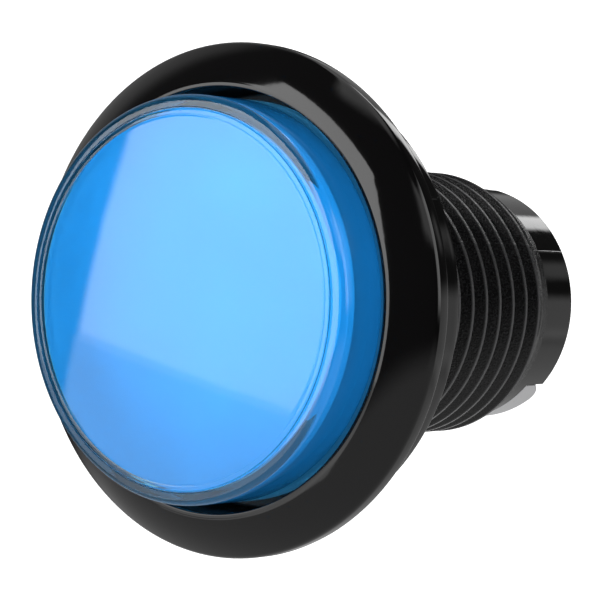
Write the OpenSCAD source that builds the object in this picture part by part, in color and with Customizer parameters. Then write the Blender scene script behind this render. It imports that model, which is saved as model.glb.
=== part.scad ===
// Panel-mounted illuminated push button of the kind used as a quiz buzzer.
// The button axis is Z with the coloured cap on top. The origin is the centre of the
// flange's back face, the face that rests on the panel. All sizes are in millimetres.

/* [Bezel] */
// Largest diameter, across the front edge of the bezel
rim_d = 60; // [58:0.5:76]
// Diameter of the ring that rests on the panel
base_ring_d = 54; // [52:0.5:57]
// Height of the bezel's widest line above the panel
rim_z = 8; // [7.2:0.1:10]
// Thickness of the edge that overhangs the base ring
rim_edge_t = 1.5; // [1:0.1:2.2]
// Radius of the rolled outer edge
rim_roll_r = 1.1; // [0.8:0.1:1.4]
// Radius of the convex front face, in section
face_r = 12; // [9:0.5:20]
// Rise of the front face from the widest line to the lip
face_rise = 3.4; // [2.8:0.1:4]
// Width of the bright lip around the opening
lip_w = 0.5; // [0.3:0.1:0.8]
// Thickness of the cup's floor
cup_floor_t = 1.8; // [1.4:0.1:2.2]

/* [Cap] */
// Diameter of the coloured cap
cap_d = 46.8; // [40:0.2:47.4]
// Radial gap between the cap and the opening
cap_gap = 1.25; // [0.6:0.05:1.6]
// Height of the cap's outer edge above the panel
cap_edge_z = 17; // [16:0.1:20]
// Extra height of the slightly domed face at its centre
cap_crown = 0.8; // [0.4:0.1:2]
// Step between the cap's outer edge and its face
cap_step = 0.25; // [0.15:0.05:0.4]
// Rounding of the cap's outer edge
cap_edge_r = 0.9; // [0.5:0.1:1.2]
// Wall thickness of the cap
cap_wall = 1.6; // [1.2:0.1:2]
// Thickness of the cap's face at its edge
cap_face_t = 2; // [1.5:0.1:2.4]
// Thickness of the white diffuser under the cap's face
diffuser_t = 1.2; // [0.8:0.1:1.6]

/* [Barrel] */
// Diameter over the thread's crests
thread_d = 33.6; // [32.4:0.2:37]
// Distance between two crests
thread_pitch = 3; // [2:0.1:4]
// Width of the flat on top of a crest
crest_w = 0.5; // [0.3:0.05:0.8]
// Width of the thread at its root
thread_root_w = 2.2; // [1:0.1:2.6]
// Outer diameter of the barrel between the crests, and of its smooth tail
tail_d = 30.6; // [30:0.1:31.4]
// Length of the barrel behind the panel
barrel_len = 43.8; // [42:0.1:60]
// Length of the smooth tail
tail_len = 6; // [5:0.1:8]
// Bore of the barrel
bore_d = 27.2; // [27:0.05:27.8]
// Depth of the two notches in the tail
notch_depth = 3.8; // [3:0.1:4.6]
// Width of a notch, in degrees around the barrel
notch_angle = 60; // [40:1:75]
// Direction of the first notch, in degrees around the barrel
notch_dir = -74.5; // [-90:0.5:90]

/* [Plunger] */
// How far the cap can be pressed
travel = 4; // [2.5:0.1:4.2]
// Outer diameter of the plunger's hollow stem
stem_d = 19; // [18.4:0.1:19.4]
// Wall thickness of the stem
stem_wall = 1.4; // [1:0.1:1.6]
// Radial clearance of the stem in its guide
guide_gap = 0.15; // [0.1:0.05:0.3]
// Distance of the spring shelf below the panel face
shelf_depth = 10; // [8:0.5:12]
// Length of the guide, from the spring shelf to its lower end
guide_len = 10; // [8:0.5:11]
// Outer radius of the light chamber under the diffuser
chamber_r = 17.6; // [16:0.1:19]

/* [Spring] */
// Wire diameter of the return spring
wire_d = 1; // [0.8:0.05:1.2]
// Mean diameter of the coils
coil_d = 23; // [22.6:0.1:23.8]
// Number of coils that work, without the two closed ends
active_coils = 5; // [3:1:7]

/* [Switch] */
// Length of the small snap-action switch
switch_l = 12.8; // [12:0.1:13.2]
// Width of the switch
switch_w = 5.8; // [5.4:0.1:6]
// Height of the switch's housing
switch_h = 6.5; // [6.3:0.1:7.5]
// Distance of the switch from the barrel's axis
switch_offset = 8.8; // [8.6:0.05:8.9]
// How far the switch's own button moves
switch_stroke = 0.8; // [0.4:0.05:1]
// How far the switch's own button stands above its housing
switch_button_h = 1; // [0.9:0.05:1.4]
// How far the blade terminals stand out behind the barrel
terminal_reach = 7; // [4:0.5:8]

/* [Lamp] */
// Diameter of the lamp's clear envelope
lamp_d = 8; // [6:0.2:9]
// Length of the lamp's envelope above its base
lamp_l = 12; // [9:0.5:14]

/* [Hidden] */
$fn = 96;

// Clearances that the pieces share.
seat_gap = 0.1;      // between pieces that rest on each other
slot_gap = 0.1;      // around a blade in its slot
join = 0.4;          // how far shapes of one piece reach into each other
cut = 1;             // how far a cut reaches past the piece it opens
key_w = 2;           // anti-rotation ribs on the stem
key_h = 0.9;
key_start = 0.5;
key_gap = 0.2;
tongue_slit_w = 1;   // slits beside the plunger's snap tongues
tongue_slit_dir = 18;
tongue_half_angle = 14;
barb_h = 1.1;        // snap barbs at the lower end of the stem
barb_edge = 0.6;
barb_slope = 1.4;

// Bezel section.
rim_r = rim_d / 2;
base_ring_r = base_ring_d / 2;
opening_r = cap_d / 2 + cap_gap;
lip_z = rim_z + face_rise;
roll_c = [rim_r - rim_roll_r, rim_z];
lip_p = [opening_r + lip_w, lip_z];
// The face's arc passes through the lip and runs smoothly into the rolled edge: its centre lies
// face_r from the lip and face_r - rim_roll_r from the centre of the roll.
lip_to_roll = norm(roll_c - lip_p);
face_u = (roll_c - lip_p) / lip_to_roll;
face_along = (pow(lip_to_roll, 2) + pow(face_r, 2) - pow(face_r - rim_roll_r, 2)) / (2 * lip_to_roll);
face_across = sqrt(pow(face_r, 2) - pow(face_along, 2));
face_c = lip_p + face_along * face_u + face_across * [face_u[1], -face_u[0]];
face_edge_x = roll_c[0] + rim_roll_r * (roll_c[0] - face_c[0]) / (face_r - rim_roll_r);

// Barrel section.
bore_r = bore_d / 2;
tail_r = tail_d / 2;
crest_r = thread_d / 2;
barrel_z = -barrel_len;
tail_z = barrel_z + tail_len;
thread_run_out = 4.4;
last_crest_z = tail_z + thread_run_out;
first_crest_limit = -0.6 * thread_pitch;
crest_n = floor((first_crest_limit - last_crest_z) / thread_pitch) + 1;
snap_groove_w = 1.2;
snap_groove_h = 0.35;
snap_bead_w = 1;

// Plunger.
stem_r = stem_d / 2;
stem_in_r = stem_r - stem_wall;
guide_r = stem_r + guide_gap;
guide_wall = 1.9;
shelf_z = -shelf_depth;
shelf_t = 2;
guide_z = shelf_z - guide_len;
cap_in_r = cap_d / 2 - cap_wall;
floor_gap = 0.4;
skirt_z = cup_floor_t + travel + floor_gap;
bead_h = 0.5;
bead_in = 0.5;
head_z = skirt_z + bead_h + seat_gap;
head_t = 1.8;
head_r = cap_in_r - 0.3;
head_top = head_z + head_t;
stem_z = guide_z - barb_h - barb_slope;
tongue_slit_h = 9.5;
cap_in_z = cap_edge_z - cap_face_t;
diffuser_z = cap_in_z - diffuser_t - seat_gap;
chamber_wall = 1.4;

// Switch, standing on the holder beside the lamp.
holder_overhang = 0.8;
lug_gap_angle = 1.2; // between a lug and the sides of its notch, in degrees
lug_corner_r = 3;
holder_z = barrel_z - holder_overhang;
platform_z = barrel_z + 3.3;
snap_groove_z = (barrel_z + platform_z - snap_groove_w) / 2;
switch_z = platform_z + seat_gap;
switch_top = switch_z + switch_h;
clip_t = 1;          // snap arms that hold the switch on the holder
clip_w = 3.5;
clip_head = 0.9;
clip_hook = 0.5;
switch_wall = 0.8;
switch_base_t = 1.2;
switch_x = -switch_offset;
roof_z = switch_top - switch_wall;
roof_to_blade = 1.3;
blade_t = 0.2;
blade_end = 0.5;     // the blade goes on this far past its pivot
blade_tip = 0.8;     // and this far past its contact
pivot_r = 0.25;      // the rolled edge that the blade turns on
blade_z = roof_z - roof_to_blade;
blade_w = 3;
tip_r = 0.6;
tip_h = 0.35;
pad_h = 0.25;
strip_t = 0.5;        // blade terminals
strip_w = 2.8;
closed_arm_t = 0.3;
terminal_pitch = 4.9;
open_y = 0.2;        // the middle terminal, and the outer two a pitch to each side
common_y = open_y - terminal_pitch;
closed_y = open_y + terminal_pitch;
tip_y = closed_y - 1.1;
button_y = common_y + 4.2;
button_r = 1;
button_top = switch_top + switch_button_h;
button_shoulder_r = 1.4;
button_shoulder_t = 0.5;
button_nib_r = 0.3;
blade_angle = atan(switch_stroke / (button_y - common_y));
tip_drop = (tip_y - common_y) * sin(blade_angle);
open_arm_z = blade_z - tip_drop - blade_t / 2 - tip_h - pad_h - seat_gap - strip_t;
closed_arm_z = blade_z + blade_t / 2 + tip_h + pad_h + seat_gap;
terminal_z = barrel_z - terminal_reach;
// The plunger's foot meets the switch button at the end of the stroke.
press_gap = 0.05;
foot_z = button_top - switch_stroke + travel + press_gap;
foot_half_angle = 20;

// Lamp and its socket.
tower_x = 4.4;
tower_y = 6;
wedge_w = 9.4;
wedge_t = 2.2;
wedge_h = 7;
lead_t = 0.4;
lead_w = 1.4;
lead_y = 2.5;
lamp_z = platform_z + 0.9;
lead_h = wedge_h - 1;
lamp_terminal_h = wedge_h - 1.2;
tower_h = lamp_z - platform_z + wedge_h - seat_gap;
collar_r = lamp_d / 2 + 0.9;
collar_h = 2.2;
envelope_z = lamp_z + wedge_h + collar_h;
envelope_wall = 0.8;
lamp_blade_x = wedge_t / 2 + lead_t + strip_t / 2 + 2 * seat_gap;
board_r = lamp_d / 2 - envelope_wall - seat_gap;
board_t = 0.8;

// A flat ring from radius r1 to radius r2, standing on height z.
module ring(r1, r2, z, h) {
    translate([0, 0, z])
        difference() {
            cylinder(r = r2, h = h);
            translate([0, 0, -cut]) cylinder(r = r1, h = h + 2 * cut);
        }
}

// A box given by its lowest corner and its size.
module block(low, size) {
    translate(low) cube(size);
}

// A wedge of a circle, half_angle to each side of the direction dir, for cutting and keeping sectors.
module sector(dir, half_angle, z, h, reach = 40) {
    rotate([0, 0, dir])
        translate([0, 0, z])
            linear_extrude(height = h)
                polygon([
                    [0, 0],
                    [reach, -reach * tan(half_angle)],
                    [reach, reach * tan(half_angle)]
                ]);
}

// Section of the bezel above the panel: base ring, overhanging edge, rolled rim and convex face.
module bezel_section() {
    difference() {
        union() {
            square([base_ring_r, rim_z]);
            translate([0, rim_z - rim_edge_t]) square([rim_r, rim_edge_t]);
            translate(roll_c) circle(r = rim_roll_r);
            intersection() {
                translate(face_c) circle(r = face_r, $fn = 360);
                translate([0, rim_z]) square([face_edge_x, face_rise]);
            }
            translate([0, rim_z]) square([lip_p[0], face_rise]);
        }
        translate([-cut, cup_floor_t]) square([opening_r + cut, rim_z + face_rise]);
        translate([-cut, -cut]) square([bore_r + cut, cup_floor_t + 2 * cut]);
    }
}

// Section of the barrel behind the panel with its thread crests, spring shelf and stem guide.
module barrel_section() {
    difference() {
        union() {
            translate([bore_r, barrel_z]) square([tail_r - bore_r, barrel_len + join]);
            for (k = [0 : crest_n - 1])
                translate([tail_r, last_crest_z + k * thread_pitch])
                    polygon([
                        [-join, -thread_root_w / 2],
                        [0, -thread_root_w / 2],
                        [crest_r - tail_r, -crest_w / 2],
                        [crest_r - tail_r, crest_w / 2],
                        [0, thread_root_w / 2],
                        [-join, thread_root_w / 2]
                    ]);
            translate([guide_r, shelf_z - shelf_t]) square([bore_r - guide_r + join, shelf_t]);
            translate([guide_r, guide_z]) square([guide_wall, guide_len]);
        }
        translate([bore_r - cut, snap_groove_z]) square([cut + snap_groove_h, snap_groove_w]);
    }
}

module bezel_housing() {
    color([0.05, 0.05, 0.055])
        difference() {
            rotate_extrude() {
                bezel_section();
                barrel_section();
            }
            for (side = [0, 180]) {
                sector(notch_dir + side, notch_angle / 2, barrel_z - cut, notch_depth + cut);
                rotate([0, 0, side])
                    block([0, -key_w / 2 - key_gap, guide_z - cut],
                        [stem_r + key_h + key_gap, key_w + 2 * key_gap, guide_len + 2 * cut]);
            }
        }
}

module lens_cap() {
    cap_r = cap_d / 2;
    face_edge_r = cap_in_r - 0.1;
    crown_h = cap_crown - cap_step;
    crown_r = (pow(face_edge_r, 2) + pow(crown_h, 2)) / (2 * crown_h);
    color([0.1, 0.45, 0.9, 0.6])
        rotate_extrude() {
            difference() {
                union() {
                    translate([0, skirt_z]) square([cap_r, cap_edge_z - cap_edge_r - skirt_z]);
                    translate([0, skirt_z]) square([cap_r - cap_edge_r, cap_edge_z - skirt_z]);
                    translate([cap_r - cap_edge_r, cap_edge_z - cap_edge_r]) circle(r = cap_edge_r);
                    translate([0, cap_edge_z - join]) square([face_edge_r, cap_step + join]);
                    intersection() {
                        translate([0, cap_edge_z + cap_crown - crown_r]) circle(r = crown_r, $fn = 720);
                        translate([0, cap_edge_z - join]) square([face_edge_r, cap_crown + join]);
                    }
                }
                translate([-cut, skirt_z - cut])
                    square([cut + cap_in_r - bead_in, cap_in_z - skirt_z + cut]);
                translate([-cut, head_z - seat_gap]) square([cut + cap_in_r, cap_in_z - head_z + seat_gap]);
                translate([-2 * cap_r, 0]) square([2 * cap_r, 2 * cap_edge_z]);
            }
        }
}

module diffuser_disc() {
    color([0.93, 0.95, 0.97])
        translate([0, 0, diffuser_z])
            cylinder(r = cap_in_r - 0.2, h = diffuser_t);
}

module plunger() {
    color([0.9, 0.91, 0.92]) {
        difference() {
            union() {
                ring(stem_in_r, head_r, head_z, head_t);
                ring(chamber_r - chamber_wall, chamber_r, head_top - join,
                    diffuser_z - head_top + join - seat_gap);
                ring(stem_in_r, stem_r, stem_z, head_z - stem_z + join);
                for (side = [0, 180])
                    rotate([0, 0, side])
                        block([stem_r - join, -key_w / 2, guide_z + key_start],
                            [key_h + join, key_w, guide_len + key_start]);
                for (side = [90, 270])
                    intersection() {
                        barb_ring();
                        sector(side, tongue_half_angle, stem_z - cut, guide_z - stem_z + 2 * cut);
                    }
                intersection() {
                    ring(stem_in_r, stem_r, foot_z, guide_z - foot_z);
                    sector(180, foot_half_angle, foot_z, guide_z - foot_z);
                }
            }
            for (side = [90, 270], edge = [-1, 1])
                rotate([0, 0, side + edge * tongue_slit_dir])
                    block([stem_in_r - cut, -tongue_slit_w / 2, stem_z - cut],
                        [stem_wall + 2 * cut, tongue_slit_w, tongue_slit_h + cut]);
        }
    }
}

// The ring that the plunger's two snap barbs are cut from: flat on top, sloping below.
module barb_ring() {
    rotate_extrude()
        polygon([
            [stem_r - join, guide_z - seat_gap],
            [stem_r + barb_h, guide_z - seat_gap],
            [stem_r + barb_h, guide_z - seat_gap - barb_edge],
            [stem_r - join, stem_z]
        ]);
}

// Height of the spring's wire at turn u: one closed turn at each end, an even pitch between.
function coil_z(u) =
    let (closed = wire_d * 1.05)
    let (low = shelf_z + seat_gap + wire_d / 2)
    let (high = head_z - seat_gap - wire_d / 2)
    let (pitch = (high - low - 2 * closed) / active_coils)
    u < 1 ? low + closed * u
        : u > 1 + active_coils ? high - closed * (2 + active_coils - u)
        : low + closed + pitch * (u - 1);

module return_spring() {
    sides = 8;
    per_turn = 24;
    rings = (active_coils + 2) * per_turn;
    points = [
        for (i = [0 : rings], j = [0 : sides - 1])
            let (turn = i / per_turn, a = 360 * turn, b = 360 * j / sides)
            let (r = coil_d / 2 + wire_d / 2 * cos(b))
            [r * cos(a), r * sin(a), coil_z(turn) + wire_d / 2 * sin(b)]
    ];
    faces = concat(
        [[for (j = [0 : sides - 1]) j]],
        [for (i = [0 : rings - 1], j = [0 : sides - 1])
            let (k = (j + 1) % sides)
            [i * sides + j, (i + 1) * sides + j, (i + 1) * sides + k, i * sides + k]],
        [[for (j = [sides - 1 : -1 : 0]) rings * sides + j]]
    );
    color([0.75, 0.76, 0.78]) polyhedron(points = points, faces = faces, convexity = 12);
}

// A hole for a blade terminal, with the shared slot clearance, through the holder.
module blade_slot(x, y, w, t, z1, z2) {
    block([x - w / 2 - slot_gap, y - t / 2 - slot_gap, z1], [w + 2 * slot_gap, t + 2 * slot_gap, z2 - z1]);
}

// A holder's lug as seen from beside the tail: straight sides and two rounded outer corners.
module lug_outline(half_w, h) {
    translate([-half_w, lug_corner_r]) square([2 * half_w, h - lug_corner_r]);
    translate([lug_corner_r - half_w, 0]) square([2 * (half_w - lug_corner_r), h]);
    for (side = [-1, 1])
        translate([side * (half_w - lug_corner_r), lug_corner_r]) circle(r = lug_corner_r);
}

module switch_holder() {
    plug_r = bore_r - seat_gap;
    lug_r = tail_r - seat_gap;
    lug_half_angle = notch_angle / 2 - lug_gap_angle;
    clip_y = switch_l / 2 + seat_gap;
    lug_t = notch_depth - seat_gap + holder_overhang;
    color([0.72, 0.72, 0.74])
        difference() {
            union() {
                translate([0, 0, holder_z]) cylinder(r = plug_r, h = platform_z - holder_z);
                rotate_extrude()
                    translate([plug_r, snap_groove_z + snap_groove_w / 2])
                        polygon([
                            [-join, -snap_bead_w / 2],
                            [0, -snap_bead_w / 2],
                            [snap_groove_h, 0],
                            [0, snap_bead_w / 2],
                            [-join, snap_bead_w / 2]
                        ]);
                for (side = [0, 180])
                    intersection() {
                        ring(plug_r - join, lug_r, holder_z, lug_t);
                        sector(notch_dir + side, lug_half_angle, holder_z, lug_t);
                        rotate([0, 0, notch_dir + side])
                            translate([0, 0, holder_z])
                                rotate([90, 0, 90])
                                    linear_extrude(height = tail_r)
                                        lug_outline(lug_r * sin(lug_half_angle), lug_t);
                    }
                for (side = [-1, 1]) {
                    block([switch_x - clip_w / 2, side > 0 ? clip_y : -clip_y - clip_t, platform_z - join],
                        [clip_w, clip_t, switch_top - platform_z + join + clip_head]);
                    block([switch_x - clip_w / 2, side > 0 ? clip_y - clip_hook : -clip_y - join,
                        switch_top + seat_gap], [clip_w, clip_hook + join, clip_head - seat_gap]);
                }
                block([-tower_x, -tower_y, platform_z - join], [2 * tower_x, 2 * tower_y, tower_h + join]);
            }
            block([-wedge_t / 2 - seat_gap, -wedge_w / 2 - seat_gap, lamp_z - seat_gap],
                [wedge_t + 2 * seat_gap, wedge_w + 2 * seat_gap, tower_h + cut]);
            for (side = [-1, 1]) {
                lead_x = side * (wedge_t / 2 + lead_t / 2 + seat_gap / 2);
                blade_slot(lead_x, side * lead_y, lead_t + seat_gap, lead_w,
                    lamp_z - seat_gap, lamp_z + wedge_h + cut);
                blade_slot(side * lamp_blade_x, side * lead_y, strip_t, strip_w, holder_z - cut,
                    lamp_z + lamp_terminal_h + seat_gap);
            }
            for (y = [common_y, open_y, closed_y])
                blade_slot(switch_x, y, strip_w, strip_t, holder_z - cut, platform_z + cut);
        }
}

module switch_base() {
    color([0.12, 0.12, 0.13])
        difference() {
            block([switch_x - switch_w / 2, -switch_l / 2, switch_z], [switch_w, switch_l, switch_base_t]);
            for (y = [common_y, open_y, closed_y])
                blade_slot(switch_x, y, strip_w, strip_t, switch_z - cut, switch_z + switch_base_t + cut);
        }
}

module switch_cover() {
    shell_z = switch_z + switch_base_t;
    color([0.16, 0.16, 0.17])
        difference() {
            block([switch_x - switch_w / 2, -switch_l / 2, shell_z],
                [switch_w, switch_l, switch_top - shell_z]);
            block([switch_x - switch_w / 2 + switch_wall, -switch_l / 2 + switch_wall, shell_z - cut],
                [switch_w - 2 * switch_wall, switch_l - 2 * switch_wall, roof_z - shell_z + cut]);
            translate([switch_x, button_y, shell_z]) cylinder(r = button_r + slot_gap, h = switch_h);
        }
}

module switch_button() {
    nib_z = blade_z + blade_t / 2 + seat_gap;
    shoulder_z = roof_z - seat_gap - button_shoulder_t;
    color([0.75, 0.1, 0.08])
        translate([switch_x, button_y, 0]) {
            translate([0, 0, nib_z]) cylinder(r = button_nib_r, h = shoulder_z - nib_z + join);
            translate([0, 0, shoulder_z]) cylinder(r = button_shoulder_r, h = button_shoulder_t);
            translate([0, 0, shoulder_z]) cylinder(r = button_r, h = button_top - shoulder_z);
        }
}

module contact_blade() {
    color([0.85, 0.62, 0.3]) {
        block([switch_x - blade_w / 2, common_y - blade_end, blade_z - blade_t / 2],
            [blade_w, tip_y - common_y + blade_end + blade_tip, blade_t]);
        translate([switch_x, common_y, blade_z])
            rotate([0, 90, 0])
                cylinder(r = pivot_r, h = blade_w, center = true);
    }
}

module moving_contact() {
    color([0.85, 0.85, 0.83])
        translate([switch_x, tip_y, 0]) {
            translate([0, 0, blade_z + blade_t / 2]) cylinder(r = tip_r, h = tip_h);
            translate([0, 0, blade_z - blade_t / 2 - tip_h]) cylinder(r = tip_r, h = tip_h);
        }
}

// A blade that stands through the switch's base and out behind the barrel.
module standing_blade(y, top) {
    block([switch_x - strip_w / 2, y - strip_t / 2, terminal_z], [strip_w, strip_t, top - terminal_z]);
}

module common_terminal() {
    color([0.8, 0.78, 0.7]) standing_blade(common_y, blade_z - pivot_r - seat_gap);
}

module open_terminal() {
    color([0.8, 0.78, 0.7]) {
        standing_blade(open_y, open_arm_z + strip_t);
        block([switch_x - strip_w / 2, open_y - strip_t / 2, open_arm_z],
            [strip_w, tip_y + tip_r - open_y + strip_t / 2, strip_t]);
    }
}

module closed_terminal() {
    color([0.8, 0.78, 0.7]) {
        standing_blade(closed_y, closed_arm_z + closed_arm_t);
        block([switch_x - strip_w / 2, tip_y - tip_r, closed_arm_z],
            [strip_w, closed_y - tip_y + tip_r + strip_t / 2, closed_arm_t]);
    }
}

module open_contact() {
    color([0.85, 0.85, 0.83])
        translate([switch_x, tip_y, open_arm_z + strip_t]) cylinder(r = tip_r, h = pad_h);
}

module closed_contact() {
    color([0.85, 0.85, 0.83])
        translate([switch_x, tip_y, closed_arm_z - pad_h]) cylinder(r = tip_r, h = pad_h);
}

module lamp_base() {
    color([0.9, 0.9, 0.88]) {
        block([-wedge_t / 2, -wedge_w / 2, lamp_z], [wedge_t, wedge_w, wedge_h + join]);
        translate([0, 0, lamp_z + wedge_h]) cylinder(r = collar_r, h = collar_h);
    }
}

module lamp_lens() {
    tip_z = lamp_l - lamp_d / 2;
    color([0.9, 0.95, 1, 0.5])
        translate([0, 0, envelope_z])
            rotate_extrude()
                difference() {
                    union() {
                        square([lamp_d / 2, tip_z]);
                        intersection() {
                            translate([0, tip_z]) circle(r = lamp_d / 2);
                            translate([0, tip_z]) square(lamp_d);
                        }
                    }
                    translate([-cut, -cut]) square([lamp_d / 2 - envelope_wall + cut, tip_z + cut]);
                    intersection() {
                        translate([0, tip_z]) circle(r = lamp_d / 2 - envelope_wall);
                        translate([0, tip_z - join]) square(lamp_d);
                    }
                }
}

module led_board() {
    color([0.9, 0.92, 0.9]) translate([0, 0, envelope_z]) cylinder(r = board_r, h = board_t);
}

module led_chip() {
    chip = 2.8;
    color([0.95, 0.85, 0.3]) block([-chip / 2, -chip / 2, envelope_z + board_t], [chip, chip, 0.8]);
}

// Two leads, each folded up one face of the lamp's wedge base.
module lamp_wires() {
    color([0.8, 0.8, 0.8])
        for (side = [-1, 1])
            translate([side > 0 ? wedge_t / 2 : -wedge_t / 2 - lead_t, side * lead_y - lead_w / 2, lamp_z])
                cube([lead_t, lead_w, lead_h]);
}

// One lamp terminal: side is 1 or -1, the face of the lamp's base that it touches.
module lamp_terminal(side) {
    color([0.8, 0.78, 0.7])
        block([side * lamp_blade_x - strip_t / 2, side * lead_y - strip_w / 2, terminal_z],
            [strip_t, strip_w, lamp_z + lamp_terminal_h - terminal_z]);
}

module lamp_terminal_a() {
    lamp_terminal(1);
}

module lamp_terminal_b() {
    lamp_terminal(-1);
}

bezel_housing();
lens_cap();
diffuser_disc();
plunger();
return_spring();
switch_holder();
switch_base();
switch_cover();
switch_button();
contact_blade();
moving_contact();
common_terminal();
open_terminal();
closed_terminal();
open_contact();
closed_contact();
lamp_base();
lamp_lens();
led_board();
led_chip();
lamp_wires();
lamp_terminal_a();
lamp_terminal_b();
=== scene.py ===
"""Looks of a panel-mounted illuminated push button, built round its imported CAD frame.

The button axis is Z with the coloured cap on top, and the origin is the centre of the face that
rests on the panel. Sizes in the classes are in millimetres; meshes are written in metres.
"""

import logging
import math
from dataclasses import dataclass, field
from enum import Enum
from typing import Any, Callable, ClassVar, Sequence

import bmesh
import bpy
import numpy as np
from mathutils import Matrix, Vector


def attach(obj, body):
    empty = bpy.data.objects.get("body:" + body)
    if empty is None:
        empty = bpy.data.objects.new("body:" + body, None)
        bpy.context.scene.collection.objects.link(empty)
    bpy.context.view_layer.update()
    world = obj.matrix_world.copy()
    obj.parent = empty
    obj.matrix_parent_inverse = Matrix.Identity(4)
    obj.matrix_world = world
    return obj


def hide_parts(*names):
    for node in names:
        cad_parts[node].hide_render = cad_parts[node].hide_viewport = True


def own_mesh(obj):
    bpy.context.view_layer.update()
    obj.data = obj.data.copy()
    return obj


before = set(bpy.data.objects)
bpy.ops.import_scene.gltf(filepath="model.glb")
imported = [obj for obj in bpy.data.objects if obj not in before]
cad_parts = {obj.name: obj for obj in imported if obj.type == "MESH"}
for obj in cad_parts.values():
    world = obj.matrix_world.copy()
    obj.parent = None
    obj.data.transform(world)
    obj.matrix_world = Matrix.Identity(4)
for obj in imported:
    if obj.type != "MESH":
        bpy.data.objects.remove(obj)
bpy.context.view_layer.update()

MM = 0.001
FULL_TURN = 2 * math.pi
NEAREST_COLUMN = 0.12
WHITE = (1.0, 1.0, 1.0, 1.0)
log = logging.getLogger("push_button")
Array = np.ndarray


# ---------------------------------------------------------------------------------- mesh tools
@dataclass
class Patch:
    """A grid of points with the faces between them.

    Attributes:
        points: Array of shape (rows, columns, 3), in millimetres.
        wrap: How many rows further on the last column meets the first one: 0 for a ring, one
            turn's rows for a thread, and None for a grid that stays open.
        slot: Material slot of its faces.
    """

    points: Array
    wrap: int | None = 0
    slot: int = 0

    def faces(self) -> Array:
        """Corner numbers of every cell, counted along the rows of the grid.

        Returns:
            Array of shape (cells, 4). A cell joins (i, j), (i, j+1), (i+1, j+1), (i+1, j); in the
            last column j+1 is column 0, wrap rows further on.
        """
        rows, cols = self.points.shape[:2]
        index = np.arange(rows * cols).reshape(rows, cols)
        body = np.stack([index[:-1, :-1], index[:-1, 1:], index[1:, 1:], index[1:, :-1]], axis=-1)
        cells = [body.reshape(-1, 4)]
        if self.wrap is not None:
            near = index[: rows - self.wrap, -1]
            far = index[self.wrap :, 0]
            cells.append(np.stack([near[:-1], far[:-1], far[1:], near[1:]], axis=-1))
        return np.concatenate(cells)


def mesh_object(
    name: str,
    patches: Sequence[Patch],
    weld: float = 0.002,
    sharp: float = 32.0,
    outward: bool = True,
) -> bpy.types.Object:
    """Writes patches into one mesh and closes the joints between them.

    Args:
        name: Name of the new object.
        patches: The grids, in millimetres.
        weld: Points nearer than this many millimetres become one.
        sharp: Edges that turn more than this many degrees stay sharp.
        outward: True turns every face outwards.

    Returns:
        The object, at the origin, with its place in its mesh.
    """
    points = np.concatenate([p.points.reshape(-1, 3) for p in patches]) * MM
    starts = np.cumsum([0] + [p.points.shape[0] * p.points.shape[1] for p in patches[:-1]])
    corners = [p.faces() + start for p, start in zip(patches, starts)]
    slots = np.concatenate([np.full(len(c), p.slot, np.int32) for p, c in zip(patches, corners)])
    faces = np.concatenate(corners).astype(np.int32)
    mesh = bpy.data.meshes.new(name)
    mesh.vertices.add(len(points))
    mesh.vertices.foreach_set("co", points.astype(np.float32).ravel())
    mesh.loops.add(faces.size)
    mesh.loops.foreach_set("vertex_index", faces.ravel())
    mesh.polygons.add(len(faces))
    mesh.polygons.foreach_set("loop_start", np.arange(0, faces.size, 4, dtype=np.int32))
    mesh.polygons.foreach_set("loop_total", np.full(len(faces), 4, np.int32))
    mesh.update(calc_edges=True)
    mesh.polygons.foreach_set("material_index", slots)
    obj = bpy.data.objects.new(name, mesh)
    bpy.context.scene.collection.objects.link(obj)
    tidy_mesh(mesh, weld, outward)
    mesh.polygons.foreach_set("use_smooth", np.ones(len(mesh.polygons), bool))
    mesh.set_sharp_from_angle(angle=math.radians(sharp))
    mesh.update()
    return obj


def tidy_mesh(mesh: bpy.types.Mesh, weld: float, outward: bool) -> None:
    """Merges doubled points, drops faces without area and turns the rest outwards.

    Args:
        mesh: The mesh to clean.
        weld: Merging distance in millimetres.
        outward: True recalculates the normals.
    """
    bm = bmesh.new()
    bm.from_mesh(mesh)
    bmesh.ops.remove_doubles(bm, verts=bm.verts, dist=weld * MM)
    bmesh.ops.dissolve_degenerate(bm, edges=bm.edges, dist=weld * MM * 0.5)
    if outward:
        bmesh.ops.recalc_face_normals(bm, faces=bm.faces)
    bm.to_mesh(mesh)
    bm.free()


def arc(centre: tuple[float, float], radius: float, start: float, end: float, steps: int) -> Array:
    """Points of a circular arc in the (radius, height) plane.

    Point k lies at centre + radius * (cos a, sin a), with a going evenly from start to end degrees.

    Args:
        centre: Centre of the arc.
        radius: Radius of the arc.
        start: First angle in degrees.
        end: Last angle in degrees.
        steps: Number of points.

    Returns:
        Array of shape (steps, 2).
    """
    a = np.radians(np.linspace(start, end, steps))
    return np.stack([centre[0] + radius * np.cos(a), centre[1] + radius * np.sin(a)], axis=-1)


def line(*points: tuple[float, float]) -> Array:
    """The given points as a polyline in the (radius, height) plane."""
    return np.array(points, float)


def columns(count: int, features: Sequence[float] = ()) -> Array:
    """Angles of a ring's columns in radians: count even ones plus the feature angles.

    Args:
        count: Number of even columns.
        features: Further angles in degrees; an even column nearer than NEAREST_COLUMN degrees
            gives way.

    Returns:
        Sorted angles from 0 up to, but not including, a full turn.
    """
    even = np.arange(count) * 360.0 / count
    extra = np.unique(np.round(np.mod(np.asarray(features, float), 360.0), 4))
    if len(extra):
        gap = np.abs((even[:, None] - extra[None, :] + 180) % 360 - 180).min(axis=1)
        even = even[gap > NEAREST_COLUMN]
    return np.radians(np.sort(np.concatenate([even, extra])))


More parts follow.
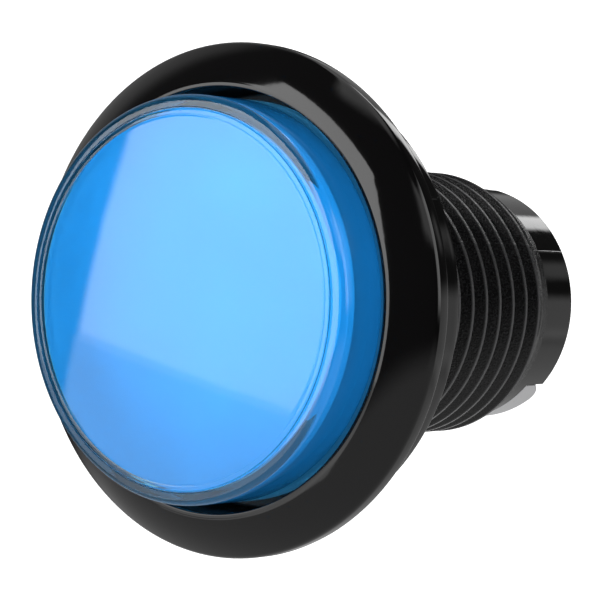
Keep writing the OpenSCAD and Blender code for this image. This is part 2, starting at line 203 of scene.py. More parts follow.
def turn(radius: Array, height: Array, angle: Array) -> Array:
    """Cylindrical to Cartesian: (r cos a, r sin a, z), for arrays of one shape."""
    radius, height, angle = np.broadcast_arrays(radius, height, angle)
    return np.stack([radius * np.cos(angle), radius * np.sin(angle), height], axis=-1)


def lathe(profile: Array, angles: Array) -> Array:
    """A profile of (radius, height) points carried round the axis.

    Args:
        profile: Array of shape (rows, 2).
        angles: Column angles in radians.

    Returns:
        Grid of shape (rows, columns, 3).
    """
    return turn(profile[:, :1], profile[:, 1:], angles[None, :])


def smooth(x: Array | float) -> Array:
    """The cubic step 3x^2 - 2x^3 of x held between 0 and 1."""
    x = np.clip(x, 0, 1)
    return x * x * (3 - 2 * x)


def near_angle(angles: Array, centre: float) -> Array:
    """Signed distance of each angle from centre, in degrees, from -180 to 180."""
    return (np.degrees(angles) - centre + 180) % 360 - 180


# ---------------------------------------------------------------------------------- node tools
Socket = bpy.types.NodeSocket


class Board:
    """A node tree while it is being wired."""

    def __init__(self, tree: bpy.types.NodeTree) -> None:
        """Starts wiring a tree.

        Args:
            tree: The tree that nodes go into.
        """
        self.tree = tree

    def add(self, kind: str, values: dict[Any, Any] | None = None, **props: Any) -> bpy.types.Node:
        """Adds a node and sets or links its inputs.

        Args:
            kind: Blender's name of the node type.
            values: Input name or number, and either a value or another node's output.
            **props: Properties of the node itself.

        Returns:
            The new node.
        """
        node = self.tree.nodes.new(kind)
        for key, value in props.items():
            setattr(node, key, value)
        for key, value in (values or {}).items():
            if isinstance(value, Socket):
                self.tree.links.new(value, node.inputs[key])
            else:
                node.inputs[key].default_value = value
        return node

    def math(self, operation: str, a: Any, b: Any = 0.0, clamp: bool = False) -> Socket:
        """One Math node; returns its output."""
        node = self.add("ShaderNodeMath", {0: a, 1: b}, operation=operation, use_clamp=clamp)
        return node.outputs[0]

    def remap(
        self, value: Any, low: float, high: float, to_low: float = 0.0, to_high: float = 1.0
    ) -> Socket:
        """A smooth Map Range from (low, high) to (to_low, to_high); returns its output."""
        node = self.add("ShaderNodeMapRange", {
            "Value": value, "From Min": low, "From Max": high, "To Min": to_low, "To Max": to_high,
        }, interpolation_type="SMOOTHSTEP")
        return node.outputs["Result"]

    def reach(self, x: Socket, y: Socket) -> Socket:
        """The length of the vector (x, y, 0)."""
        flat = self.add("ShaderNodeCombineXYZ", {0: x, 1: y}).outputs[0]
        return self.add("ShaderNodeVectorMath", {0: flat}, operation="LENGTH").outputs["Value"]

    def dot(self, a: Socket, b: Vector) -> Socket:
        """The dot product of a changing vector and a fixed one."""
        node = self.add("ShaderNodeVectorMath", {0: a, 1: tuple(b)}, operation="DOT_PRODUCT")
        return node.outputs["Value"]

    def link(self, out: Socket, into: Socket) -> None:
        """Joins an output to an input."""
        self.tree.links.new(out, into)


class Effect(Enum):
    """Shader effects that several finishes share; each is one node group, built once."""

    GRAIN = "spark_eroded_grain"
    HANDLING = "handling_marks"
    DRIFT = "colour_drift"
    DRAWN = "drawn_lines"
    WINDOW = "soft_window"


def new_group(
    name: str, inputs: dict[str, tuple[str, Any]], outputs: dict[str, str]
) -> tuple[Board, bpy.types.Node, bpy.types.Node]:
    """An empty node group with its sockets.

    Args:
        name: Name of the group.
        inputs: Socket name to (socket type, default value).
        outputs: Socket name to socket type.

    Returns:
        The board, the group's input node and its output node.
    """
    tree = bpy.data.node_groups.new(name, "ShaderNodeTree")
    for key, (kind, value) in inputs.items():
        socket = tree.interface.new_socket(key, in_out="INPUT", socket_type=kind)
        if value is not None:
            socket.default_value = value
    for key, kind in outputs.items():
        tree.interface.new_socket(key, in_out="OUTPUT", socket_type=kind)
    board = Board(tree)
    return board, board.add("NodeGroupInput"), board.add("NodeGroupOutput")


FLOAT, VECTOR, COLOUR = "NodeSocketFloat", "NodeSocketVector", "NodeSocketColor"


def build_grain() -> bpy.types.NodeTree:
    """Spark-eroded grain: pits from cells of random size, softened by fine noise.

    Height = 0.6 * cell distance + 0.4 * noise, both at the given scale.
    """
    board, given, out = new_group(
        Effect.GRAIN.value,
        {"Position": (VECTOR, None), "Scale": (FLOAT, 3000.0)},
        {"Height": FLOAT},
    )
    cell = board.add("ShaderNodeTexVoronoi", {
        "Vector": given.outputs["Position"], "Scale": given.outputs["Scale"],
    })
    fine = board.add("ShaderNodeTexNoise", {
        "Vector": given.outputs["Position"],
        "Scale": board.math("MULTIPLY", given.outputs["Scale"], 1.7),
        "Detail": 4.0,
        "Roughness": 0.65,
    })
    pits = board.math("MULTIPLY", cell.outputs["Distance"], 0.6)
    height = board.math("ADD", pits, board.math("MULTIPLY", fine.outputs["Fac"], 0.4))
    board.link(height, out.inputs["Height"])
    return board.tree


def build_handling() -> bpy.types.NodeTree:
    """Marks of handling: broad smears and a few fine scuffs that change the roughness.

    Roughness = base + amount * (0.6 * smear + 0.4 * scuff).
    """
    board, given, out = new_group(
        Effect.HANDLING.value,
        {"Position": (VECTOR, None), "Base": (FLOAT, 0.15), "Amount": (FLOAT, 0.1),
         "Scale": (FLOAT, 60.0)},
        {"Roughness": FLOAT},
    )
    smear = board.add("ShaderNodeTexNoise", {
        "Vector": given.outputs["Position"],
        "Scale": given.outputs["Scale"],
        "Detail": 3.0,
        "Distortion": 0.6,
    })
    scuff = board.add("ShaderNodeTexNoise", {
        "Vector": given.outputs["Position"],
        "Scale": board.math("MULTIPLY", given.outputs["Scale"], 9.0),
        "Detail": 6.0,
        "Roughness": 0.7,
    })
    broad = board.remap(smear.outputs["Fac"], 0.35, 0.7, 0.0, 0.6)
    thin = board.remap(scuff.outputs["Fac"], 0.58, 0.72, 0.0, 0.4)
    mask = board.math("ADD", broad, thin, clamp=True)
    added = board.math("MULTIPLY", mask, given.outputs["Amount"])
    board.link(board.math("ADD", given.outputs["Base"], added), out.inputs["Roughness"])
    return board.tree


def build_drift() -> bpy.types.NodeTree:
    """Slow change of a colour over a moulding: colour * (1 + amount * (noise - 0.5))."""
    board, given, out = new_group(
        Effect.DRIFT.value,
        {"Position": (VECTOR, None), "Color": (COLOUR, WHITE), "Amount": (FLOAT, 0.15),
         "Scale": (FLOAT, 90.0)},
        {"Color": COLOUR},
    )
    slow = board.add("ShaderNodeTexNoise", {
        "Vector": given.outputs["Position"], "Scale": given.outputs["Scale"], "Detail": 5.0,
    })
    centred = board.math("SUBTRACT", slow.outputs["Fac"], 0.5)
    swing = board.math("MULTIPLY", centred, given.outputs["Amount"])
    scale = board.add("ShaderNodeVectorMath", {
        0: given.outputs["Color"], "Scale": board.math("ADD", swing, 1.0),
    }, operation="SCALE")
    board.link(scale.outputs[0], out.inputs["Color"])
    return board.tree


def build_drawn() -> bpy.types.NodeTree:
    """Fine lines of drawn or rolled metal: noise stretched along Z by the given ratio."""
    board, given, out = new_group(
        Effect.DRAWN.value,
        {"Position": (VECTOR, None), "Scale": (FLOAT, 2500.0), "Stretch": (FLOAT, 0.04)},
        {"Height": FLOAT},
    )
    squeeze = board.add("ShaderNodeCombineXYZ", {0: 1.0, 1: 1.0, 2: given.outputs["Stretch"]})
    place = board.add("ShaderNodeVectorMath", {
        0: given.outputs["Position"], 1: squeeze.outputs[0],
    }, operation="MULTIPLY")
    lines = board.add("ShaderNodeTexNoise", {
        "Vector": place.outputs[0], "Scale": given.outputs["Scale"], "Detail": 3.0,
    })
    board.link(lines.outputs["Fac"], out.inputs["Height"])
    return board.tree


def build_window() -> bpy.types.NodeTree:
    """A bright window with soft sides in the surround, placed by two angles in degrees.

    Value = level * rise(across, left) * fall(across, right) * rise(height, low) *
    fall(height, high), where rise and fall are smooth steps over twice the softness.
    """
    board, given, out = new_group(
        Effect.WINDOW.value,
        {name: (FLOAT, 0.0) for name in ("Across", "Height", "Left", "Right", "Low", "High")}
        | {"Soft": (FLOAT, 4.0), "Level": (FLOAT, 1.0)},
        {"Value": FLOAT},
    )
    value = given.outputs["Level"]
    limits = (
        ("Across", "Left", 1), ("Across", "Right", -1), ("Height", "Low", 1), ("Height", "High", -1),
    )
    for angle, side, sign in limits:
        off = board.math("SUBTRACT", given.outputs[angle], given.outputs[side])
        share = board.math("DIVIDE", board.math("MULTIPLY", off, sign), given.outputs["Soft"])
        value = board.math("MULTIPLY", value, board.remap(share, -1.0, 1.0))
    board.link(value, out.inputs["Value"])
    return board.tree


class Effects:
    """Builds each shared effect the first time it is asked for."""

    makers: ClassVar[dict[Effect, Callable[[], bpy.types.NodeTree]]] = {
        Effect.GRAIN: build_grain,
        Effect.HANDLING: build_handling,
        Effect.DRIFT: build_drift,
        Effect.DRAWN: build_drawn,
        Effect.WINDOW: build_window,
    }
    built: ClassVar[dict[Effect, bpy.types.NodeTree]] = {}

    @classmethod
    def place(cls, board: Board, effect: Effect, values: dict[str, Any]) -> bpy.types.Node:
        """Puts an effect into a material.

        Args:
            board: The material's board.
            effect: Which effect.
            values: Values or links of the group's inputs.

        Returns:
            The group node.
        """
        if effect not in cls.built:
            cls.built[effect] = cls.makers[effect]()
        return board.add("ShaderNodeGroup", values, node_tree=cls.built[effect])


# ---------------------------------------------------------------------------------- finishes
Rgb = tuple[float, float, float]
CAP_BLUE: Rgb = (0.11, 0.56, 0.95)


@dataclass(frozen=True)
class Finish:
    """What every finish has: a name, a colour and how rough it is.

    Attributes:
        name: Name of the material.
        colour: Linear red, green and blue.
        rough: Roughness of clean places.
        marks: How much handling marks add to the roughness.
    """

    name: str
    colour: Rgb
    rough: float = 0.2
    marks: float = 0.08
    ior: ClassVar[float] = 1.42
    waves: ClassVar[tuple[float, float, float]] = (420.0, 2.0, 0.000008)

    def constants(self) -> dict[str, Any]:
        """Values that are the same all over the surface, by shader socket."""
        return {"IOR": self.ior}

    def height(self, board: Board, position: Socket) -> tuple[Socket, float]:
        """The faint waviness of a polished mould: noise of a scale, a detail and a depth in metres.

        Args:
            board: The material's board.
            position: Object coordinates.

        Returns:
            The height output and its depth in metres.
        """
        scale, detail, depth = self.waves
        peel = board.add("ShaderNodeTexNoise", {
            "Vector": position, "Scale": scale, "Detail": detail,
        })
        return peel.outputs["Fac"], depth

    def glow(self, board: Board, position: Socket) -> Socket | None:
        """Painted glow that comes out of the surface: none, unless a finish gives it."""
        return None

    def tone(self, board: Board, position: Socket) -> Socket:
        """The colour with its slow drift over the moulding."""
        values = {"Position": position, "Color": (*self.colour, 1.0)}
        return Effects.place(board, Effect.DRIFT, values).outputs["Color"]

    def material(self) -> bpy.types.Material:
        """The material, built once and shared by every piece that has this finish."""
        found = bpy.data.materials.get(self.name)
        if found:
            return found
        made = bpy.data.materials.new(self.name)
        made.use_nodes = True
        made.node_tree.nodes.clear()
        board = Board(made.node_tree)
        position = board.add("ShaderNodeTexCoord").outputs["Object"]
        marks = Effects.place(board, Effect.HANDLING, {
            "Position": position, "Base": self.rough, "Amount": self.marks,
        })
        relief, depth = self.height(board, position)
        bump = board.add("ShaderNodeBump", {"Height": relief, "Strength": 1.0, "Distance": depth})
        shader = board.add("ShaderNodeBsdfPrincipled", {
            "Base Color": self.tone(board, position),
            "Roughness": marks.outputs["Roughness"],
            "Normal": bump.outputs["Normal"],
            **self.constants(),
        })
        # Painted glow: emission standing in for light, where a finish gives it.
        glow = self.glow(board, position)
        if glow:
            board.link(glow, shader.inputs["Emission Color"])
            shader.inputs["Emission Strength"].default_value = 1.0
        out = board.add("ShaderNodeOutputMaterial")
        board.link(shader.outputs["BSDF"], out.inputs["Surface"])
        made.diffuse_color = (*self.colour, 1.0)
        return made


@dataclass(frozen=True)
class Grained(Finish):
    """Moulded plastic from a spark-eroded mould.

    Attributes:
        pits: Grain cells per metre.
        depth: Depth of the grain in metres.
    """

    pits: float = 5200.0
    depth: float = 0.00002

    def height(self, board: Board, position: Socket) -> tuple[Socket, float]:
        """The grain's height at its own scale."""
        grain = Effects.place(board, Effect.GRAIN, {"Position": position, "Scale": self.pits})
        return grain.outputs["Height"], self.depth


@dataclass(frozen=True)
class CrestHighlighted(Grained):
    """Grained plastic with painted highlights: its thread crests are painted paler as highlight
    lines, and the grain's peaks carry painted glints.

    Attributes:
        highlight_tone: Colour of the painted highlight on crests and glints.
        from_r: Radius in metres where the painted crest highlight starts.
        to_r: Radius where the painted crest highlight is full.
        glint: Share of the painted highlight colour on the grain's highest points, as painted
            glints.
        full: Share of the painted highlight colour on the top of a crest.
        coarser: Scale of the grain that shows as painted glints, as a share of the relief's.
        peaks: Heights of the grain between which a painted glint comes up.
    """

    highlight_tone: Rgb = (0.05, 0.05, 0.053)
    from_r: float = 0.01662
    to_r: float = 0.01679
    glint: float = 0.28
    full: float = 0.9
    coarser: float = 0.8
    peaks: tuple[float, float] = (0.52, 0.62)

    def tone(self, board: Board, position: Socket) -> Socket:
        """The drifting colour, mixed with a paler painted highlight colour.

        Share of the painted highlight colour = the greater of full * rise(distance from the axis),
        the painted crest highlight, and glint * rise(grain height), the painted glints, rise being a
        smooth step.

        Args:
            board: The material's board.
            position: Object coordinates.

        Returns:
            The mixed colour.
        """
        base = super().tone(board, position)
        parts = board.add("ShaderNodeSeparateXYZ", {0: position})
        far = board.reach(parts.outputs["X"], parts.outputs["Y"])
        grain = Effects.place(board, Effect.GRAIN, {
            "Position": position, "Scale": self.pits * self.coarser,
        })
        # Painted highlight along the thread crests, where the radius nears the crest's.
        crest_highlight = board.math("MULTIPLY", board.remap(far, self.from_r, self.to_r), self.full)
        # Painted glints on the grain's highest points.
        glints = board.remap(grain.outputs["Height"], *self.peaks, 0.0, self.glint)
        share = board.math("MAXIMUM", crest_highlight, glints)
        mix = board.add("ShaderNodeMix", {"Factor": share}, data_type="RGBA")
        board.link(base, mix.inputs["A"])
        mix.inputs["B"].default_value = (*self.highlight_tone, 1.0)
        return mix.outputs["Result"]


@dataclass(frozen=True)
class Tinted(Finish):
    """Clear or tinted plastic that light passes through.

    Attributes:
        painted_glow: Strength of a painted glow in the plastic's own colour, standing in for light
            it scatters.
    """

    painted_glow: float = 0.0
    ior: ClassVar[float] = 1.49
    waves: ClassVar[tuple[float, float, float]] = (160.0, 1.0, 0.000004)

    def constants(self) -> dict[str, Any]:
        """Full transmission, with the refraction of acrylic, and a painted glow."""
        return {
            "IOR": self.ior,
            "Transmission Weight": 1.0,
            "Emission Color": (*self.colour, 1.0),
            "Emission Strength": self.painted_glow,
        }


@dataclass(frozen=True)
class PaintedGlow(Finish):
    """White plastic with a painted glow in the cap's tint, standing in for light that reaches it
    through the tinted cap.

    Attributes:
        middle: Brightness of the painted glow at its brightest spot.
        edge: Brightness at the reach.
        spot: Place of the brightest spot beside the axis, in metres.
        reach: Distance from that spot in metres.
        even: Share of the reach over which the brightness stays even.
        tint: Colour of the painted glow, the tint the cap gives light.
        low_z: Height in metres under which nothing glows.
        high_z: Height from which all of it glows.
    """

    middle: float = 0.6
    edge: float = 0.2
    spot: tuple[float, float] = (0.009, 0.004)
    reach: float = 0.03
    even: float = 0.3
    tint: Rgb = CAP_BLUE
    low_z: float = 0.004
    high_z: float = 0.0066

    def glow(self, board: Board, position: Socket) -> Socket | None:
        """The painted glow: the tint, as bright as the place asks.

        Brightness = fall(distance from the spot) * rise(height), where fall is a smooth step from
        middle down to edge and rise one from 0 at low_z up to 1 at high_z.

        Args:
            board: The material's board.
            position: Object coordinates.

        Returns:
            The painted glow colour.
        """
        parts = board.add("ShaderNodeSeparateXYZ", {0: position})
        far = board.reach(
            board.math("SUBTRACT", parts.outputs["X"], self.spot[0]),
            board.math("SUBTRACT", parts.outputs["Y"], self.spot[1]),
        )
        fall = board.remap(far, self.reach * self.even, self.reach, self.middle, self.edge)
        rise = board.remap(parts.outputs["Z"], self.low_z, self.high_z)
        value = board.math("MULTIPLY", fall, rise)
        tone = board.add("ShaderNodeVectorMath", {0: self.tint, "Scale": value}, operation="SCALE")
        return tone.outputs[0]


@dataclass(frozen=True)
class Metal(Finish):
    """Drawn wire or rolled strip."""

    line_depth: ClassVar[float] = 0.000006

    def constants(self) -> dict[str, Any]:
        """Full metallic."""
        return {"Metallic": 1.0}

    def height(self, board: Board, position: Socket) -> tuple[Socket, float]:
        """Lines along the strip."""
        drawn = Effects.place(board, Effect.DRAWN, {"Position": position})
        return drawn.outputs["Height"], self.line_depth


GLOSS_BLACK = Finish("gloss_black_plastic", (0.003, 0.0028, 0.003), 0.055, 0.05)
# Grained black with painted crest highlights and painted glints on the thread.
GRAINED_BLACK = CrestHighlighted("grained_black_plastic", (0.004, 0.004, 0.0044), 0.14, 0.08, 5000.0, 0.00006)
DULL_BLACK = Grained("dull_black_plastic", (0.003, 0.003, 0.0032), 0.5, 0.1, 4000.0, 0.00001)
BLUE_CLEAR = Tinted("blue_clear_plastic", CAP_BLUE, 0.02, 0.02)
BLUE_SATIN = Tinted("blue_satin_plastic", CAP_BLUE, 0.3, 0.05, painted_glow=0.045)
# The cap's satin inside has a weak painted glow in the cap's colour.
WATER_CLEAR = Tinted("water_clear_plastic", (0.96, 0.97, 0.98), 0.03, 0.03)
# The diffuser gets a painted glow in the cap's tint, brightest at a spot off the axis.
MILK_WHITE = PaintedGlow("milk_white_plastic", (0.86, 0.89, 0.92), 0.4, 0.1, middle=0.57, edge=0.03)
SHELL_WHITE = Finish("shell_white_plastic", (0.78, 0.8, 0.82), 0.3, 0.1)
# The plunger gets a weak painted glow in the cap's tint over its upper part.
STEM_WHITE = PaintedGlow(
    "stem_white_plastic", (0.82, 0.84, 0.86), 0.32, 0.1,
    middle=0.06, edge=0.06, low_z=0.008, high_z=0.0135,
)
GREY_NYLON = Grained("grey_nylon", (0.43, 0.43, 0.44), 0.42, 0.12, 3600.0, 0.000015)
SWITCH_BLACK = Grained("switch_black_plastic", (0.012, 0.012, 0.014), 0.38, 0.1, 4200.0, 0.000012)
SIGNAL_RED = Finish("signal_red_plastic", (0.45, 0.012, 0.01), 0.25, 0.1)
SPRING_STEEL = Metal("spring_steel_wire", (0.52, 0.53, 0.55), 0.25, 0.1)
BRONZE = Metal("bronze_strip", (0.66, 0.4, 0.18), 0.28, 0.15)
SILVER = Metal("contact_silver", (0.82, 0.82, 0.79), 0.3, 0.12)
TINNED = Metal("tinned_brass_strip", (0.7, 0.67, 0.58), 0.3, 0.18)
BOARD_WHITE = Grained("board_white_mask", (0.78, 0.8, 0.77), 0.35, 0.1, 6000.0, 0.000005)
PHOSPHOR = Finish("phosphor_yellow_resin", (0.85, 0.62, 0.08), 0.3, 0.05)


def wear(piece: bpy.types.Object, *finishes: Finish) -> None:
    """Gives a new piece its finishes, one for each material slot in turn."""
    for finish in finishes:
        piece.data.materials.append(finish.material())


def dress(node: str, finish: Finish) -> None:
    """Gives a CAD node its finish, in every material slot it has.

    Args:
        node: Name of the node.
        finish: Its finish.
    """
    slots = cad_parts[node].data.materials
    slots.clear()
    slots.append(finish.material())
    log.info("%s has the finish %s", node, finish.name)


# ---------------------------------------------------------------------------------- the housing
@dataclass
class Housing:
    """The black moulding: cup, rolled bezel, base ring, right-hand thread and notched tail.

    Heights are over the panel face, and radii from the button's axis, both in millimetres, and
    directions are in degrees. The groove is its lower and upper height and its depth, the ridge the
    height and the width of the mould's parting line, and the tail's and the flange's run-outs are
    where the thread starts to rise from the end of its stretch and over what length it does.
    The last cup_rows rows of the face's section lie inside the cup.
    """

    rim_r: float = 30.0
    rim_z: float = 8.0
    rim_edge: float = 1.5
    roll_r: float = 1.1
    face_arc_r: float = 12.0
    face_rise: float = 3.4
    base_r: float = 27.0
    opening_r: float = 24.65
    lip_w: float = 0.5
    floor_z: float = 1.8
    bore_r: float = 13.6
    root_r: float = 15.3
    crest_r: float = 16.8
    pitch: float = 3.0
    last_crest_z: float = -33.4
    tail_z: float = -37.8
    end_z: float = -43.8
    notch_top_z: float = -40.0
    notch_dirs: tuple[float, float] = (-74.5, 105.5)
    notch_half: float = 30.0
    parting_dirs: tuple[float, float] = (25.0, 205.0)
    guide_r: float = 9.65
    guide_out_r: float = 11.55
    guide_z: float = -20.0
    shelf_z: float = -10.0
    shelf_t: float = 2.0
    key_r: float = 10.6
    key_half: float = 1.2
    groove: tuple[float, float, float] = (-42.75, -41.55, 0.35)
    ridge_size: tuple[float, float] = (0.07, 0.3)
    tail_run_out: tuple[float, float] = (1.2, 1.8)
    flange_run_out: tuple[float, float] = (0.9, 1.2)
    end_edge: float = 0.2
    even_columns: int = 180
    cup_rows: int = 8
    thread_slot: ClassVar[int] = 1
    dull_slot: ClassVar[int] = 2
    angles: Array = field(init=False)

    def __post_init__(self) -> None:
        """Chooses the columns: even ones, and close pairs where the shape steps."""
        fine = np.array([-0.6, -0.42, -0.25, 0.0, 0.25, 0.42, 0.6])
        step = np.array([-0.3, -0.12, 0.12, 0.3])
        key = math.degrees(self.key_half / self.key_r)
        features = [d + o for d in self.parting_dirs for o in fine]
        notch_sides = [d + s * self.notch_half for d in self.notch_dirs for s in (-1, 1)]
        features += [side + o for side in notch_sides for o in step]
        features += [d + s * key + o for d in (0, 180) for s in (-1, 1) for o in (-0.1, 0.1)]
        self.angles = columns(self.even_columns, [*features, 0.0])

    def off_nearest(self, directions: Sequence[float]) -> Array:
        """Degrees from each column to the nearest of the directions."""
        return np.min([np.abs(near_angle(self.angles, d)) for d in directions], axis=0)

    def ridge(self) -> Array:
        """Height of the parting line: tall * exp(-(d / wide)^2), a column d degrees off it."""
        tall, wide = self.ridge_size
        return tall * np.exp(-((self.off_nearest(self.parting_dirs) / wide) ** 2))

    def spread(self, profile: Array) -> tuple[Array, Array]:
        """The radius and the height of a profile's points, repeated for every column."""
        count = len(self.angles)
        return np.repeat(profile[:, :1], count, axis=1), np.repeat(profile[:, 1:], count, axis=1)

    def face_section(self) -> Array:
        """Section of the bezel: from the barrel's root, over rim and face, to the cup's floor.

        The face is an arc through the lip that runs smoothly into the rolled edge: its centre lies
        the arc's radius from the lip, and that less the roll's radius from the roll's centre.

        Returns:
            Array of (radius, height) points.
        """
        lip = np.array([self.opening_r + self.lip_w, self.rim_z + self.face_rise])
        roll = np.array([self.rim_r - self.roll_r, self.rim_z])
        span = np.linalg.norm(roll - lip)
        along = (span**2 + self.face_arc_r**2 - (self.face_arc_r - self.roll_r) ** 2) / (2 * span)
        across = math.sqrt(self.face_arc_r**2 - along**2)
        unit = (roll - lip) / span
        centre = lip + along * unit + across * np.array([unit[1], -unit[0]])
        joint = math.degrees(math.atan2(*(roll - centre)[::-1]))
        top = math.degrees(math.atan2(*(lip - centre)[::-1]))
        under = self.rim_z - self.rim_edge
        edge, lip_z = 0.25, float(lip[1])
        return np.concatenate([
            line((self.root_r, 0.0), (self.root_r + 4, 0.0), (self.base_r - edge - 0.1, 0.0)),
            arc((self.base_r - edge, edge), edge, -90, 0, 6),
            line((self.base_r, 1.0), (self.base_r, 3.5), (self.base_r, under - 0.5)),
            arc((self.base_r + 0.3, under - 0.3), 0.3, 180, 90, 5),
            line((self.rim_r - 0.5, under)),
            arc((self.rim_r - 0.3, under + 0.3), 0.3, -90, 0, 5),
            line((self.rim_r, self.rim_z - 0.3)),
            arc((float(roll[0]), float(roll[1])), self.roll_r, 0, joint, 14),
            arc((float(centre[0]), float(centre[1])), self.face_arc_r, joint, top - 0.6, 22)[1:],
            arc((self.opening_r + self.lip_w - 0.08, lip_z - 0.1), 0.1, 60, 90, 3),
            line((self.opening_r + 0.2, lip_z)),
            arc((self.opening_r + 0.1, lip_z - 0.1), 0.1, 90, 180, 4),
            line((self.opening_r, lip_z - 1.0), (self.opening_r, self.floor_z + 0.6)),
            arc((self.opening_r - 0.5, self.floor_z + 0.5), 0.5, 0, -90, 5),
            line((self.bore_r + 4, self.floor_z)),
        ])

    def bezel_patches(self) -> list[Patch]:
        """The section turned round the axis; the parting line shows on the base ring's side.

        Returns:
            The glossy outside, and the dull inside of the cup, which is the section's last rows.
        """
        profile = self.face_section()
        radius, height = self.spread(profile)
        on_side = np.abs(profile[:, 0] - self.base_r) < 0.05
        low, high = 0.3, self.rim_z - self.rim_edge - 0.4
        on_side &= (profile[:, 1] > low) & (profile[:, 1] < high)
        radius[on_side] += self.ridge() * 0.7
        grid = turn(radius, height, self.angles[None, :])
        cup = Patch(grid[-self.cup_rows :], slot=self.dull_slot)
        return [Patch(grid[: 1 - self.cup_rows]), cup]

    def inside_patch(self) -> Patch:
        """Cup floor, bore, spring shelf, stem guide with its keyways, and the bore of the tail.

        In the guide the radius is key_r where the column lies within a keyway, else guide_r. No
        row goes under the tail's own end, which is higher inside the notches.

        Returns:
            The dull inside.
        """
        low, high, deep = self.groove
        under_z = self.shelf_z - self.shelf_t
        rows = line(
            (self.bore_r + 4, self.floor_z), (self.bore_r + 0.2, self.floor_z),
            (self.bore_r, self.floor_z - 0.2), (self.bore_r, self.shelf_z),
            (self.guide_r + 0.1, self.shelf_z), (self.guide_r, self.shelf_z - 0.1),
            (self.guide_r, self.guide_z + 0.1), (self.guide_r + 0.1, self.guide_z),
            (self.guide_out_r, self.guide_z), (self.guide_out_r, under_z),
            (self.bore_r, under_z), (self.bore_r, high + 0.1),
            (self.bore_r + deep, high), (self.bore_r + deep, low),
            (self.bore_r, low - 0.1), (self.bore_r, self.end_z + 0.15),
            (self.bore_r + 0.15, self.end_z), (self.root_r - 0.2, self.end_z),
            (self.root_r, self.end_z + self.end_edge),
        )
        radius, height = self.spread(rows)
        keyed = self.off_nearest((0, 180)) < math.degrees(self.key_half / self.key_r)
        guide = (rows[:, 0] < self.guide_r + 0.15) & (rows[:, 1] <= self.shelf_z)
        radius[np.ix_(guide, keyed)] += self.key_r - self.guide_r
        over_end = (rows[:, 1:] - self.end_z).clip(0, self.end_edge)
        height = np.maximum(height, self.end_height()[None, :] + over_end)
        return Patch(turn(radius, height, self.angles[None, :]), slot=self.dull_slot)

    def end_height(self) -> Array:
        """Height of the tail's end at each column: the notch's top inside a notch, else the end."""
        in_notch = self.off_nearest(self.notch_dirs) < self.notch_half
        return np.where(in_notch, self.notch_top_z, self.end_z)

    def tail_patch(self) -> Patch:
        """The smooth tail: height runs evenly from its end up to the thread's lower limit.

        Returns:
            The glossy ring, whose parting line fades at both ends.
        """
        share = np.array([0.0, 0.25, 0.5, 0.75, 1.0])[:, None]
        ridged = np.array([0, 1, 1, 1, 0])[:, None]
        low = self.end_height()[None, :] + self.end_edge
        height = low + share * (self.tail_z - low)
        radius = self.root_r + self.ridge()[None, :] * ridged
        return Patch(turn(radius, height, self.angles[None, :]))

    def thread_patch(self) -> Patch:
        """The right-hand thread as a height field on helical rows.

        A row follows z = z0 + pitch * angle / (2 pi), held between the tail and the flange. The
        radius is root + (crest - root) * h(o) * fade(z), where o is the distance from the nearest
        crest line, h a flank with rounded corners, and fade a smooth step over the run-outs.

        Returns:
            The grained thread.
        """
        flank = np.array([0.2, 0.27, 0.36, 0.97, 1.1, 1.24])
        level = np.array([1.0, 0.96, 0.86, 0.16, 0.04, 0.0])
        offsets = np.concatenate([[-self.pitch / 2], -flank[::-1], flank])
        heights = np.concatenate([[0.0], level[::-1], level])
        low_turn = math.floor((self.tail_z - self.last_crest_z) / self.pitch) - 1
        high_turn = math.ceil(-self.last_crest_z / self.pitch) + 1
        turns = np.arange(low_turn, high_turn + 1)
        start = (self.last_crest_z + turns[:, None] * self.pitch + offsets[None, :]).ravel()
        share = np.tile(heights, len(turns))[:, None]
        z = start[:, None] + self.pitch * self.angles[None, :] / FULL_TURN
        (tail_gap, tail_span), (flange_gap, flange_span) = self.tail_run_out, self.flange_run_out
        fade = smooth((z - self.tail_z - tail_gap) / tail_span)
        fade = fade * smooth((-flange_gap - z) / flange_span)
        inside = (z > self.tail_z) & (z < 0)
        radius = self.root_r + (self.crest_r - self.root_r) * share * fade
        radius = radius + np.where(inside, self.ridge()[None, :] * (0.4 + 0.9 * share), 0)
        radius = np.minimum(radius, self.crest_r + 0.05)
        grid = turn(radius, np.clip(z, self.tail_z, 0.0), self.angles[None, :])
        return Patch(grid, wrap=len(offsets), slot=self.thread_slot)

    def build(self) -> None:
        """Makes the moulding in one closed mesh and puts it in the place of the CAD node."""
        patches = self.bezel_patches()
        patches += [self.inside_patch(), self.tail_patch(), self.thread_patch()]
        piece = mesh_object("housing_moulding", patches)
        wear(piece, GLOSS_BLACK, GRAINED_BLACK, DULL_BLACK)
        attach(piece, "housing")
        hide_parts("bezel_housing")
        log.info("housing moulding: %d faces", len(piece.data.polygons))


